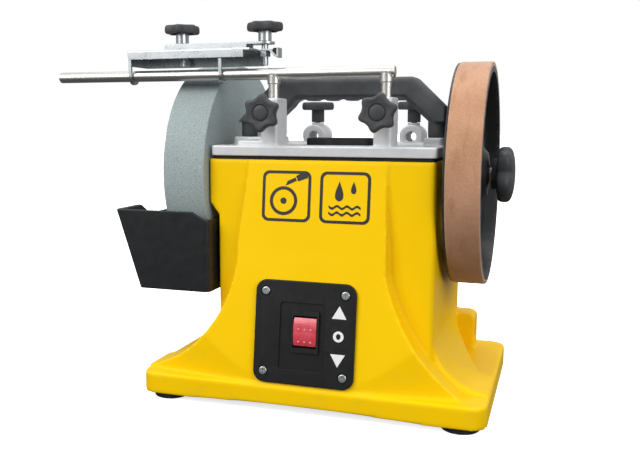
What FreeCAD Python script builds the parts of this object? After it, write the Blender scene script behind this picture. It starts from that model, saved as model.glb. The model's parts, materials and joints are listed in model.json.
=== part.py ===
import FreeCAD, Part
import math
import os

# Two-wheel wet grinding sharpener, in millimetres, +Z up.
# X runs along the arbor, from the grindstone (-X) to the honing wheel (+X); the switch faces -Y.
# Everything is drawn with the arbor axis in the plane Y = 0 and moved by FOOTPRINT_SHIFT at the end,
# so that the origin is on the floor under the middle of the machine's outline.

FOOTPRINT_SHIFT = FreeCAD.Vector(0, 6.5, 0)

# --- driving dimensions ---
WHEEL_R = 100.0
AXIS_Z = 205.0
STONE_X = (-90.0, -50.0)
HONING_X = (159.0, 189.0)
SHAFT_R = 6.0
RUNNING = 0.05
BUSH_R = 9.0
BEARING_X = ((-32.0, -10.0), (131.0, 146.0))
WALL = 4.0

BODY_X = (-40.0, 153.0)
BODY_Y = (-90.0, 88.0)
BODY_TOP = 219.0
OVERHANG_X = -46.0
OVERHANG_Z = (170.0, 181.0)
CHEEK_X = -48.5
CHEEK_Y = (-90.0, -34.0)
BASE_X = (-107.5, 201.0)
BASE_Y = (-118.0, 98.0)
BASE_Z = (6.0, 25.0)
BASE_CORNER_R = 14.0
PLINTH_EDGE = 2.5
CREASE_Z = 141.0
PANEL_Y_TOP = -91.5
PANEL_Y_CREASE = -100.0
PANEL_Y_FOOT = -115.2
PANEL_FOOT_RIGHT = 177.5

PLATE_X = (-46.5, 154.0)
PLATE_Y = (-92.0, 92.0)
PLATE_Z = (222.0, 231.0)
PAD_TOP = 238.0

ROD_R = 5.0
LEG_X = (7.5, 107.5)
LEG_Y = -75.0
LEG_BOTTOM = 188.0
BAR_X = (-210.0, 115.0)
BAR_Z = 293.3
COLUMN_TOP = 272.0
COLUMN_HALF = 8.0
COLUMN_FRONT = 15.0
COLUMN_BACK = 14.0
SOCKET_Y = (45.0, 77.0)
SOCKET_Z = 237.0
SOCKET_R = 11.5
STEM_TOP = SOCKET_Z + SOCKET_R + 2.0
REAR_KNOB_Y = 62.0
FRONT_KNOB_Z = 259.0

KNOB_R = 16.5
KNOB_T = 8.0
KNOB_LOBES = 6
KNOB_HUB_R = 6.5
STUD_R = 3.0
GROOVE_DEPTH = 0.6
# the knob's other sizes, as shares of its radius
SCALLOP_AT = 1.19
SCALLOP_R = 0.36
KNOB_EDGE = 0.13
GROOVE_R = (0.38, 0.44)
HOLLOW_R = 0.72
HOLLOW_DEPTH = 0.35  # as a share of the head's thickness

HANDLE_Y = -40.0
HANDLE_X = (-29.0, 145.0)
HANDLE_FOOT = 251.5
HANDLE_TOP = 290.5
HANDLE_HALF_W = 11.0
GRIP_X = (19.8, 118.6)
GRIP_BOTTOM = 270.2
KEEL_H = 4.4
KEEL_HALF_W = 8.5
WAVE_R = 11.0
WAVE_DEPTH = 1.6
WAVE_STEP = 18.0

FOOT_X = (-85.0, 179.0)
FOOT_Y = (-98.0, 70.0)
FOOT_R = 16.0

SWITCH_X = 47.2
SWITCH_Z = 71.7
SWITCH_W = 89.6
SWITCH_H = 89.3
SWITCH_T = 3.0
RECESS_X = (-21.8, 18.2)
RECESS_Z = (-32.0, 26.2)
ROCKER_X = 1.1
ROCKER_Z = 1.5
ROCKER_W = 20.4
ROCKER_H = 24.5
ROCKER_PIVOT_Y = 3.0

DRIVE_RING_R = 86.0
ROLLER_R = 7.0
ROLLER_GAP = 0.3
MOTOR_Z = AXIS_Z - (DRIVE_RING_R - ROLLER_R - ROLLER_GAP)
MOTOR_X = (20.0, 110.0)
MOTOR_R = 50.0
PIVOT_Y = 62.0
PIVOT_Z = 196.0
PIVOT_R = 4.0

TROUGH_Y = 105.0
TROUGH_X_TOP = -136.0
TROUGH_X_BOTTOM = -112.3
TROUGH_X_RIGHT = -43.5
TROUGH_Z = (99.8, 172.0)
TROUGH_WALL = 2.6
RIM_H = 8.0
RIM_OUT = 1.6
TROUGH_STUD_Y = 62.0
TROUGH_STUD_Z = 152.0
TROUGH_DROP = 15.0

JIG_X = (-132.0, -12.0)
JIG_Y = (-84.9, -46.0)
JIG_Z = (308.0, 316.0)
JIG_BACK_BOTTOM = 302.0
JIG_SHEET = 2.0
HOOK_X = (-131.0, -41.0)
JIG_KNOB_X = (-88.0, -6.5)
JIG_KNOB_Y = -60.0
CLAMP_Z = (317.0, 322.5)


# --- helpers ---
def vec(x, y, z):
    return FreeCAD.Vector(x, y, z)


def box(x0, x1, y0, y1, z0, z1):
    return Part.makeBox(x1 - x0, y1 - y0, z1 - z0, vec(x0, y0, z0))


def rod_x(r, x0, x1, y=0.0, z=AXIS_Z):
    return Part.makeCylinder(r, x1 - x0, vec(x0, y, z), vec(1, 0, 0))


def rod_y(r, y0, y1, x, z):
    return Part.makeCylinder(r, y1 - y0, vec(x, y0, z), vec(0, 1, 0))


def rod_z(r, z0, z1, x, y):
    return Part.makeCylinder(r, z1 - z0, vec(x, y, z0), vec(0, 0, 1))


def tube_x(r_out, r_in, x0, x1, y=0.0, z=AXIS_Z):
    return rod_x(r_out, x0, x1, y, z).cut(rod_x(r_in, x0 - 1, x1 + 1, y, z))


def fuse(*shapes):
    return shapes[0].multiFuse(list(shapes[1:])).removeSplitter()


def cut(shape, *tools):
    return shape.cut(list(tools))


def face_of(start, steps, place):
    """A flat face; a step is a point, or (point on the arc, end point)."""
    edges = []
    here = place(*start)
    for step in steps:
        if isinstance(step[0], tuple):
            there = place(*step[1])
            edges.append(Part.Arc(here, place(*step[0]), there).toShape())
        else:
            there = place(*step)
            edges.append(Part.makeLine(here, there))
        here = there
    if here.distanceToPoint(place(*start)) > 1e-6:
        edges.append(Part.makeLine(here, place(*start)))
    return Part.Face(Part.Wire(edges))


def prism_xz(start, steps, y0, y1):
    return face_of(start, steps, lambda x, z: vec(x, y0, z)).extrude(vec(0, y1 - y0, 0))


def prism_yz(start, steps, x0, x1):
    return face_of(start, steps, lambda y, z: vec(x0, y, z)).extrude(vec(x1 - x0, 0, 0))


def prism_xy(start, steps, z0, z1):
    return face_of(start, steps, lambda x, y: vec(x, y, z0)).extrude(vec(0, 0, z1 - z0))


def lathe_x(start, steps):
    """Turned about the arbor axis; points are (x, radius)."""
    flat = face_of(start, steps, lambda x, r: vec(x, 0, AXIS_Z + r))
    return flat.revolve(vec(0, 0, AXIS_Z), vec(1, 0, 0), 360)


def edges_along(shape, axis, pick=lambda middle: True):
    """Straight edges along an axis whose middle point is picked."""
    found = []
    for edge in shape.Edges:
        if not isinstance(edge.Curve, Part.Line):
            continue
        along = edge.tangentAt(edge.FirstParameter)
        if abs(abs(getattr(along, axis)) - 1) < 1e-6 and pick(edge.CenterOfMass):
            found.append(edge)
    return found


def rounded_box(x0, x1, y0, y1, z0, z1, r, axis="z", soften=0.0):
    shape = box(x0, x1, y0, y1, z0, z1)
    shape = shape.makeFillet(r, edges_along(shape, axis))
    if soften:
        top = [e for e in shape.Edges if abs(e.CenterOfMass.z - z1) < 1e-6]
        shape = shape.makeFillet(soften, top)
    return shape


def polygon_z(sides, across_flats, z0, z1, x, y):
    radius = across_flats / 2 / math.cos(math.pi / sides)
    turns = [2 * math.pi * k / sides for k in range(sides + 1)]
    ring = [vec(x + radius * math.cos(turn), y + radius * math.sin(turn), z0) for turn in turns]
    return Part.Face(Part.makePolygon(ring)).extrude(vec(0, 0, z1 - z0))


def turned(shape, axis, degrees, centre):
    copy = shape.copy()
    copy.rotate(centre, axis, degrees)
    return copy


def along_y(shape):
    """Turns a piece drawn along +Z about the origin to face -Y."""
    return turned(shape, vec(1, 0, 0), 90, vec(0, 0, 0))


def moved(shape, x, y, z):
    copy = shape.copy()
    copy.translate(vec(x, y, z))
    return copy


def lobed_knob(radius, thick, hub_r, hub_len, bore_r, lobes=KNOB_LOBES):
    """Clamp knob on the Z axis: hub from 0 to hub_len, lobed head above it, ring groove in its face."""
    face = hub_len + thick
    head = rod_z(radius, hub_len, face, 0, 0)
    for k in range(lobes):
        turn = 2 * math.pi * (k + 0.5) / lobes
        far_x = radius * SCALLOP_AT * math.cos(turn)
        far_y = radius * SCALLOP_AT * math.sin(turn)
        head = head.cut(rod_z(radius * SCALLOP_R, hub_len - 1, face + 1, far_x, far_y))
    head = head.makeFillet(radius * KNOB_EDGE, [e for e in head.Edges if e.CenterOfMass.z > face - 0.01])
    groove = rod_z(radius * GROOVE_R[1], face - GROOVE_DEPTH, face + 1, 0, 0)
    groove = groove.cut(rod_z(radius * GROOVE_R[0], hub_len, face + 2, 0, 0))
    hollow = rod_z(radius * HOLLOW_R, hub_len - 1, hub_len + thick * HOLLOW_DEPTH, 0, 0)
    hollow = hollow.cut(rod_z(hub_r, hub_len - 2, face, 0, 0))
    hub = rod_z(hub_r, 0, hub_len + thick * 0.5, 0, 0)
    knob = fuse(cut(head, groove, hollow), hub)
    return knob.cut(rod_z(bore_r, -1, hub_len + thick * 0.55, 0, 0))


def knob_stud(hub_len, thick, reach):
    """Threaded stud of a clamp knob, moulded half-way into the head, sticking out by reach."""
    stud = rod_z(STUD_R, -reach, hub_len + thick * 0.5, 0, 0)
    return stud.makeChamfer(0.5, [e for e in stud.Edges if abs(e.CenterOfMass.z + reach) < 0.01])


# --- housing ---
def front_panel(inset):
    """Raised, flared front of the housing: its outline seen from the front, cut to its side profile."""
    left = BASE_X[0] + 1 + inset
    right = PANEL_FOOT_RIGHT - inset
    foot = BASE_Z[1] + 2 - inset
    roof = BODY_TOP + (20 if inset else 0)
    outline = prism_xz(
        (left, foot),
        [(left, foot - 15), (right, foot - 15), (right, foot),
         ((131 - inset * 0.8, 82.5 - inset * 0.6), (115.2 - inset, 124)),
         (112.5 - inset, roof), (-10 + inset, roof), (-18.6 + inset, 148),
         ((-43 + inset * 0.8, 68.7 - inset * 0.6), (left, foot))],
        -130, -60)
    profile = prism_yz(
        (-60, 0),
        [(-60, roof), (PANEL_Y_TOP + inset, roof), (PANEL_Y_CREASE + inset, CREASE_Z),
         (PANEL_Y_FOOT + inset, BASE_Z[1]), (PANEL_Y_FOOT + inset, 0)],
        BASE_X[0] - 20, BASE_X[1] + 20)
    bow_r = 800.0
    bow = rod_z(bow_r, 0, 400, (BASE_X[0] + BASE_X[1]) / 2, PANEL_Y_FOOT - 0.5 + inset + bow_r)
    return outline.common(profile).common(bow)


def side_skirt(inset, side):
    """Concave skirt from the body wall down to the plinth, on one side."""
    wall = BODY_X[1] if side > 0 else BODY_X[0]
    reach = (BASE_X[1] - wall if side > 0 else wall - BASE_X[0]) - 3 - inset
    inner = wall - side * 20
    height = 62.0 if side > 0 else 50.0
    skirt = prism_xz(
        (inner, 10),
        [(wall + side * reach, 10), (wall + side * reach, BASE_Z[1] + 1 - inset),
         ((wall + side * (reach * 0.28 - inset * 0.7), BASE_Z[1] + height * 0.27 - inset * 0.7),
          (wall - side * inset, BASE_Z[1] + height)), (inner, BASE_Z[1] + height)],
        BODY_Y[0] + 6 + inset, BODY_Y[1] - 14 - inset)
    if side < 0:
        return skirt
    behind = prism_xy((187, -26), [(215, -26), (215, 90), (141, 90)], 0, 120)
    return skirt.cut(moved(behind, -1.1 * inset, -0.4 * inset, 0))


def housing_solid(inset):
    roof = BODY_TOP + (10 if inset else 0)
    floor = BASE_Z[0] - (5 if inset else 0)
    core = prism_xz(
        (BODY_X[0] + inset, floor),
        [(BODY_X[1] - inset, floor), (BODY_X[1] - inset, roof), (OVERHANG_X + inset, roof),
         (OVERHANG_X + inset, OVERHANG_Z[1]), (BODY_X[0] + inset, OVERHANG_Z[0])],
        BODY_Y[0] + inset, BODY_Y[1] - inset)
    if not inset:
        core = core.makeFillet(5.0, edges_along(core, "z", lambda m: m.x > 0))
        cheek = prism_xz((BODY_X[0] + 1, roof), [(CHEEK_X, roof), (CHEEK_X, OVERHANG_Z[1] - 1),
                                                 (BODY_X[0] + 1, OVERHANG_Z[0] - 2)], *CHEEK_Y)
        core = core.fuse(cheek)
    corner_r = BASE_CORNER_R - inset * 0.8
    soften = 0.0 if inset else PLINTH_EDGE
    plinth = rounded_box(BASE_X[0] + inset, BASE_X[1] - inset, BASE_Y[0] + inset, BASE_Y[1] - inset,
                         floor, BASE_Z[1] - inset, corner_r, soften=soften)
    lump = box(BODY_X[1] - 8, BODY_X[1] + 20 - inset, 60 + inset, BODY_Y[1] - inset, 12, 60 - inset)
    if not inset:
        lump = lump.makeFillet(6.0, edges_along(lump, "y", lambda m: m.x > BODY_X[1] and m.z > 50))
    return fuse(core, plinth, front_panel(inset), side_skirt(inset, 1), side_skirt(inset, -1), lump)


def switch_frame(shape):
    """Leans a piece drawn upright at the origin, facing -Y, onto the sloping front panel."""
    lean = math.degrees(math.atan2(PANEL_Y_CREASE - PANEL_Y_FOOT, CREASE_Z - BASE_Z[1]))
    share = (CREASE_Z - SWITCH_Z) / (CREASE_Z - BASE_Z[1])
    surface_y = PANEL_Y_CREASE + (PANEL_Y_FOOT - PANEL_Y_CREASE) * share
    return moved(turned(shape, vec(1, 0, 0), -lean, vec(0, 0, 0)), SWITCH_X, surface_y, SWITCH_Z)


SIDES = (-1, 1)
SWITCH_SCREW_XZ = [(i * (SWITCH_W / 2 - 9.3), k * (SWITCH_H / 2 - 9.9)) for i in SIDES for k in SIDES]
CASTING_SCREW_XY = [(x, y) for x in (PLATE_X[0] + 13.5, PLATE_X[1] - 9) for y in (-80, 80)]
FOOT_XY = [(x, y) for x in FOOT_X for y in FOOT_Y]


def make_housing():
    shell = housing_solid(0).cut(housing_solid(WALL))
    bosses = [rod_z(6.5, 180, BODY_TOP, x, y) for x, y in CASTING_SCREW_XY]
    pads = [rod_z(FOOT_R + 2.3, BASE_Z[0], BASE_Z[1] - WALL + 0.5, x, y) for x, y in FOOT_XY]
    solid = fuse(shell, *bosses, *pads)
    screw_holes = [rod_z(2.1, BASE_Z[0] - 1, BASE_Z[1] - WALL - 2, x, y) for x, y in FOOT_XY]
    boss_holes = [rod_z(2.1, 185, BODY_TOP + 1, x, y) for x, y in CASTING_SCREW_XY]
    notch_r = 16.0
    shaft_ways = [box(x0, x1, -notch_r, notch_r, AXIS_Z, BODY_TOP + 1).fuse(rod_x(notch_r, x0, x1))
                  for x0, x1 in ((OVERHANG_X - 5, OVERHANG_X + 12), (BODY_X[1] - WALL - 1, BODY_X[1] + 1))]
    motor_way = rod_x(12.0, BODY_X[1] - WALL - 1, BODY_X[1] + 1, 0, MOTOR_Z + 2)
    arch = prism_xz((-55, BASE_Z[0] - 1), [(-55, BASE_Z[0]), ((47, BASE_Z[0] + 2.5), (149, BASE_Z[0])),
                                           (149, BASE_Z[0] - 1)], BASE_Y[0] - 1, BASE_Y[1] + 1)
    slot = rounded_box(BODY_X[1] + 10, BODY_X[1] + 30, 70, 80, 31, 51, 4.9, axis="x")
    grommet_way = rod_x(7.0, BODY_X[1] - 2, BODY_X[1] + 30, 75, 41)
    window = box(-12.6, 12.6, -40, 40, -18.4, 18.4)
    window = switch_frame(moved(window, ROCKER_X, 0, ROCKER_Z))
    seat_x = SWITCH_W / 2 + 0.3
    seat_z = SWITCH_H / 2 + 0.3
    seat = switch_frame(box(-seat_x, seat_x, -6, 0, -seat_z, seat_z))
    plate_holes = [switch_frame(rod_y(1.6, -1, 20, x, z)) for x, z in SWITCH_SCREW_XZ]
    stud_holes = [rod_x(3.0, BODY_X[0] - 1, BODY_X[0] + WALL + 1, y, TROUGH_STUD_Z)
                  for y in (-TROUGH_STUD_Y, TROUGH_STUD_Y)]
    ways = [*shaft_ways, motor_way, grommet_way, slot, arch]
    holes = [*screw_holes, *boss_holes, *plate_holes, *stud_holes]
    return cut(solid, *ways, *holes, window, seat)


def make_base_cover():
    gap = WALL + 0.4
    cover = rounded_box(BASE_X[0] + gap, BASE_X[1] - gap, BASE_Y[0] + gap, BASE_Y[1] - gap, 10.2, 11.8, 10)
    clear = FOOT_R + 3.0
    beyond = 40.0
    x_spans = ((FOOT_X[0] - beyond, FOOT_X[0] + clear), (FOOT_X[1] - clear, FOOT_X[1] + beyond))
    y_spans = ((FOOT_Y[0] - beyond, FOOT_Y[0] + clear), (FOOT_Y[1] - clear, FOOT_Y[1] + beyond))
    corners = [box(*xs, *ys, 9, 13) for xs in x_spans for ys in y_spans]
    vents = [rounded_box(30 + 14 * k, 36 + 14 * k, -40, 20, 9, 13, 2.9) for k in range(6)]
    return cut(cover, *corners, *vents)


def make_feet():
    feet = []
    for x, y in FOOT_XY:
        foot = rod_z(FOOT_R, 0, BASE_Z[0], x, y)
        foot = foot.makeFillet(1.5, [e for e in foot.Edges if abs(e.CenterOfMass.z) < 0.01])
        feet.append(cut(foot, rod_z(2.6, -1, 7, x, y), rod_z(5.5, -1, 2.5, x, y)))
    return Part.makeCompound(feet)


def make_foot_screws():
    screws = []
    for x, y in FOOT_XY:
        screws.append(fuse(rod_z(4.6, 0.9, 2.5, x, y), rod_z(2.1, 2.5, 18, x, y)))
    return Part.makeCompound(screws)


def make_top_seal():
    seal = rounded_box(PLATE_X[0] + 0.8, PLATE_X[1] - 1.8, BODY_Y[0] + 0.6, BODY_Y[1] - 0.6,
                       BODY_TOP, PLATE_Z[0], 4)
    room = box(OVERHANG_X + 9, BODY_X[1] - 4, BODY_Y[0] + 6, BODY_Y[1] - 6, BODY_TOP - 1, PLATE_Z[0] + 1)
    ways = [rod_z(2.6, BODY_TOP - 1, PLATE_Z[0] + 1, x, y) for x, y in CASTING_SCREW_XY]
    heads = [rod_z(5.2, BODY_TOP - 1, PLATE_Z[0] + 1, x, HANDLE_Y) for x in HANDLE_X]
    return cut(seal, room, *ways, *heads)


# --- top casting ---
def make_top_casting():
    plate = rounded_box(*PLATE_X, *PLATE_Y, *PLATE_Z, 4, soften=0.8)
    root = PLATE_Z[0] + 1
    pieces = [plate]
    for x in LEG_X:
        column = box(x - COLUMN_HALF, x + COLUMN_HALF, LEG_Y - COLUMN_FRONT, LEG_Y + COLUMN_BACK,
                     root, COLUMN_TOP)
        column = column.makeFillet(3.0, edges_along(column, "z"))
        rim = [e for e in column.Edges if abs(e.CenterOfMass.z - COLUMN_TOP) < 0.01]
        column = column.makeFillet(1.0, rim)
        boss = rod_y(7.5, LEG_Y - COLUMN_FRONT - 1, LEG_Y, x, FRONT_KNOB_Z)
        pieces += [column, boss]
        socket = rod_y(SOCKET_R, *SOCKET_Y, x, SOCKET_Z)
        mouth = [e for e in socket.Edges if abs(e.CenterOfMass.y - SOCKET_Y[0]) < 0.01]
        socket = socket.makeFillet(1.2, mouth)
        pedestal = box(x - 11, x + 11, SOCKET_Y[0] + 2, SOCKET_Y[1], root, SOCKET_Z)
        stem = rod_z(6.0, SOCKET_Z, STEM_TOP, x, REAR_KNOB_Y)
        pieces += [socket, pedestal, stem]
    pieces += [
        rounded_box(-38.5, 4, -58, -21, root, PAD_TOP, 3, soften=0.8),
        rounded_box(-22, 3, -90, -50, root, PAD_TOP - 2.6, 3, soften=0.8),
        rounded_box(136, 152.5, -56, -24, root, PAD_TOP, 3, soften=0.8),
    ]
    for x0, x1 in BEARING_X:
        pieces.append(box(x0, x1, -14, 14, AXIS_Z - 13, root))
    for x0 in (0.0, 124.0):
        pieces.append(box(x0, x0 + 6, PIVOT_Y - 8, PIVOT_Y + 8, PIVOT_Z - 9, root))
    casting = fuse(*pieces)
    under = box(-60, 170, 50, 100, 200, PLATE_Z[0])
    keep = box(-60, 170, 50, PIVOT_Y + 8.5, 180, PLATE_Z[0])
    tools = [under.cut(keep)]
    for x in LEG_X:
        tools.append(rod_z(ROD_R + RUNNING, PLATE_Z[0] - 1, COLUMN_TOP + 1, x, LEG_Y))
        tools.append(rod_y(STUD_R + RUNNING, LEG_Y - 20, LEG_Y, x, FRONT_KNOB_Z))
        tools.append(rod_y(ROD_R + RUNNING, SOCKET_Y[0] - 1, SOCKET_Y[1] + 1, x, SOCKET_Z))
        tools.append(rod_z(STUD_R + RUNNING, SOCKET_Z, STEM_TOP + 1, x, REAR_KNOB_Y))
    for x0, x1 in BEARING_X:
        tools.append(rod_x(BUSH_R, x0 - 1, x1 + 1))
    tools.append(rod_x(PIVOT_R, -1, 131, PIVOT_Y, PIVOT_Z))
    for x, y in CASTING_SCREW_XY:
        tools.append(rod_z(2.6, PLATE_Z[0] - 1, PLATE_Z[1] + 1, x, y))
        tools.append(rod_z(5.0, PLATE_Z[1] - 3.4, PLATE_Z[1] + 1, x, y))
    for x in HANDLE_X:
        tools.append(rod_z(2.6, PLATE_Z[0] - 1, PAD_TOP + 1, x, HANDLE_Y))
    return cut(casting, *tools)


def make_casting_screws():
    screws = []
    for x, y in CASTING_SCREW_XY:
        head = rod_z(4.6, PLATE_Z[1] - 3.4, PLATE_Z[1] + 0.2, x, y)
        head = head.cut(polygon_z(6, 3.4, PLATE_Z[1] - 2, PLATE_Z[1] + 1, x, y))
        screws.append(fuse(head, rod_z(2.1, 196, PLATE_Z[1] - 3.3, x, y)))
    return Part.makeCompound(screws)


def make_bushings():
    return Part.makeCompound([tube_x(BUSH_R, SHAFT_R + RUNNING, x0 - 1, x1 + 1) for x0, x1 in BEARING_X])


def under_grip(lift):
    """The room under the grip, raised by lift."""
    left, right = GRIP_X
    top = GRIP_BOTTOM + lift
    drop = GRIP_BOTTOM - HANDLE_FOOT + 10
    return prism_xz((left - drop * 1.1, top - drop),
                    [(left, top), (right, top), (right + drop * 1.12, top - drop)],
                    HANDLE_Y - 20, HANDLE_Y + 20)


def make_carry_handle():
    """Bowed grip on two bosses: a wide crown over a narrower keel, with finger waves along its underside."""
    left, right = HANDLE_X
    top = HANDLE_TOP
    side_y = (HANDLE_Y - HANDLE_HALF_W, HANDLE_Y + HANDLE_HALF_W)
    hump = prism_xz(
        (left - 9, HANDLE_FOOT),
        [(left + 26, top - 3), ((left + 29, top - 0.6), (left + 34, top)),
         (right - 21.4, top), ((right - 17.5, top - 1.3), (right - 14, top - 4.2)),
         (right + 8, top - 25.5), (right + 8, HANDLE_FOOT)], *side_y)
    side_edges = [e for e in hump.Edges if abs(abs(e.CenterOfMass.y - HANDLE_Y) - HANDLE_HALF_W) < 0.01]
    hump = hump.makeFillet(4.0, [e for e in side_edges if e.CenterOfMass.z > HANDLE_FOOT + 10])
    keel = hump.common(box(left - 20, right + 20, HANDLE_Y - KEEL_HALF_W, HANDLE_Y + KEEL_HALF_W,
                           HANDLE_FOOT - 1, top + 1))
    wave_z = GRIP_BOTTOM - WAVE_R + WAVE_DEPTH
    waves = [rod_y(WAVE_R, *side_y, GRIP_X[0] + 4.9 + WAVE_STEP * k, wave_z) for k in range(5)]
    bosses = [rod_z(7.5, PAD_TOP, HANDLE_FOOT + 3, x, HANDLE_Y) for x in HANDLE_X]
    handle = fuse(cut(hump, under_grip(KEEL_H)), cut(keel, under_grip(0), *waves), *bosses)
    return cut(handle, *[rod_z(2.1, PAD_TOP - 1, PAD_TOP + 16, x, HANDLE_Y) for x in HANDLE_X])


def make_handle_screws():
    screws = []
    for x in HANDLE_X:
        screws.append(fuse(rod_z(4.6, PLATE_Z[0] - 2.6, PLATE_Z[0], x, HANDLE_Y),
                           rod_z(2.1, PLATE_Z[0] - 0.5, PAD_TOP + 13, x, HANDLE_Y)))
    return Part.makeCompound(screws)


def make_top_pad():
    return rounded_box(31, 90.4, -58, -34, PLATE_Z[1], PLATE_Z[1] + 6.3, 6, soften=1.5)


# --- clamp knobs ---
FRONT_HUB = 12.0
REAR_HUB = 12.5
JIG_HUB = 9.0
REAR_HUB_Z = STEM_TOP + 0.4
FRONT_FACE_Y = LEG_Y - COLUMN_FRONT - 2.0


def front_knob_place(shape, x):
    return moved(along_y(shape), x, FRONT_FACE_Y, FRONT_KNOB_Z)


def rear_knob_place(shape, x):
    return moved(shape, x, REAR_KNOB_Y, REAR_HUB_Z)


def jig_knob_place(shape, x):
    return moved(shape, x, JIG_KNOB_Y, CLAMP_Z[1] + 0.3)


# --- switch ---
def make_switch_plate():
    half_w = SWITCH_W / 2
    half_h = SWITCH_H / 2
    plate = rounded_box(-half_w, half_w, -SWITCH_T, 0, -half_h, half_h, 10, axis="y")
    front = [e for e in plate.Edges if abs(e.CenterOfMass.y + SWITCH_T) < 0.01]
    plate = plate.makeFillet(1.0, front)
    recess = rounded_box(*RECESS_X, -SWITCH_T - 1, -SWITCH_T + 1.2, *RECESS_Z, 3, axis="y")
    window = moved(box(-11.8, 11.8, -10, 10, -17.6, 17.6), ROCKER_X, 0, ROCKER_Z)
    sinks = [rod_y(4.6, -SWITCH_T - 1, -SWITCH_T + 0.8, x, z) for x, z in SWITCH_SCREW_XZ]
    holes = [rod_y(1.7, -SWITCH_T - 1, 1, x, z) for x, z in SWITCH_SCREW_XZ]
    return switch_frame(cut(plate, recess, window, *sinks, *holes))


def make_switch_screws():
    screws = []
    for x, z in SWITCH_SCREW_XZ:
        head = rod_y(3.7, -SWITCH_T - 1.0, -SWITCH_T + 0.8, x, z)
        head = head.makeFillet(0.9, [e for e in head.Edges if e.CenterOfMass.y < -SWITCH_T - 0.9])
        cross = fuse(box(x - 2, x + 2, -5, -SWITCH_T, z - 0.4, z + 0.4),
                     box(x - 0.4, x + 0.4, -5, -SWITCH_T, z - 2, z + 2))
        screws.append(switch_frame(head.cut(cross).fuse(rod_y(1.5, -SWITCH_T + 0.7, 12, x, z))))
    return Part.makeCompound(screws)


def make_switch_body():
    bezel = rounded_box(-12.2, 12.2, -4.0, -1.8, -17.9, 17.9, 1.5, axis="y")
    case = box(-11.6, 11.6, -1.9, 24, -17.4, 17.4)
    well = box(-ROCKER_W / 2 - 0.4, ROCKER_W / 2 + 0.4, -10, 12, -ROCKER_H / 2 - 1.4, ROCKER_H / 2 + 1.4)
    blades = [box(x - 0.4, x + 0.4, 23, 32, z - 3, z + 3) for x in (-6, 6) for z in (-11, 0, 11)]
    pins = [rod_x(1.2, s - 0.6, s + 0.6, ROCKER_PIVOT_Y, 0) for s in (-ROCKER_W / 2, ROCKER_W / 2)]
    body = fuse(bezel.fuse(case).cut(well), *blades, *pins)
    return switch_frame(moved(body, ROCKER_X, 0, ROCKER_Z))


def make_rocker():
    half = ROCKER_H / 2
    shape = prism_yz((-2.6, half), [((-4.2, half * 0.55), (-4.4, 0)), ((-4.2, -half * 0.55), (-2.6, -half)),
                                    (8, -half + 4), ((9.6, 0), (8, half - 4))], -ROCKER_W / 2, ROCKER_W / 2)
    cups = [rod_x(1.25, s - 0.7, s + 0.7, ROCKER_PIVOT_Y, 0) for s in (-ROCKER_W / 2, ROCKER_W / 2)]
    return switch_frame(moved(cut(shape, *cups), ROCKER_X, 0, ROCKER_Z))


def make_cord_grommet():
    x_face = BODY_X[1] + 20
    collar = rounded_box(x_face - 10, x_face - 1.0, 70.2, 79.8, 31.2, 50.8, 4.7, axis="x")
    grommet = fuse(collar, rod_x(6.9, BODY_X[1] + 3, x_face - 9, 75, 41))
    return grommet.cut(rod_x(3.6, BODY_X[1] - 5, x_face + 5, 75, 41))


def make_trough_studs():
    studs = []
    inside = TROUGH_X_RIGHT - TROUGH_WALL
    for y in (-TROUGH_STUD_Y, TROUGH_STUD_Y):
        shank = rod_x(2.95, inside - 0.6, BODY_X[0] + WALL + 3, y, TROUGH_STUD_Z)
        head = rod_x(4.6, inside - 1.8, inside - 0.5, y, TROUGH_STUD_Z)
        shoulder = rod_x(4.6, TROUGH_X_RIGHT + 0.5, BODY_X[0], y, TROUGH_STUD_Z)
        nut = rod_x(5.5, BODY_X[0] + WALL, BODY_X[0] + WALL + 3, y, TROUGH_STUD_Z)
        studs.append(fuse(shank, head, shoulder, nut))
    return Part.makeCompound(studs)


# --- electrics in the base ---
def make_capacitor():
    can = rod_x(17, 20, 85, 52, 31)
    can = can.makeFillet(2.0, [e for e in can.Edges if abs(e.CenterOfMass.x - 85) < 0.01])
    return fuse(can, box(12, 20.5, 47, 49, 27, 35), box(12, 20.5, 55, 57, 27, 35))


def make_terminal_block():
    block = box(-20, 4, -30, 30, 11.8, 26)
    cells = [rod_z(2.4, 18, 27, x, y) for x in (-14, -2) for y in (-22.5, -7.5, 7.5, 22.5)]
    return cut(block, *cells)


# --- motor ---
def make_motor_can():
    can = tube_x(MOTOR_R, MOTOR_R - 2, *MOTOR_X, 0, MOTOR_Z)
    ribs = [rod_x(MOTOR_R + 1.2, x, x + 2, 0, MOTOR_Z).cut(rod_x(MOTOR_R - 1, x - 1, x + 3, 0, MOTOR_Z))
            for x in (MOTOR_X[0] + 8, MOTOR_X[1] - 10)]
    return fuse(can, *ribs)


def make_motor_stator():
    core = tube_x(MOTOR_R - 2, 28.4, 34, 96, 0, MOTOR_Z)
    slots = []
    for k in range(12):
        slot = box(33, 97, -2, 2, MOTOR_Z + 31, MOTOR_Z + 41)
        slots.append(turned(slot, vec(1, 0, 0), 30 * k, vec(0, 0, MOTOR_Z)))
    return cut(core, *slots)


def make_motor_windings():
    rings = []
    for x0, x1 in ((25, 34), (96, 105)):
        rings.append(tube_x(42, 31, x0, x1, 0, MOTOR_Z))
    return Part.makeCompound(rings)


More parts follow.
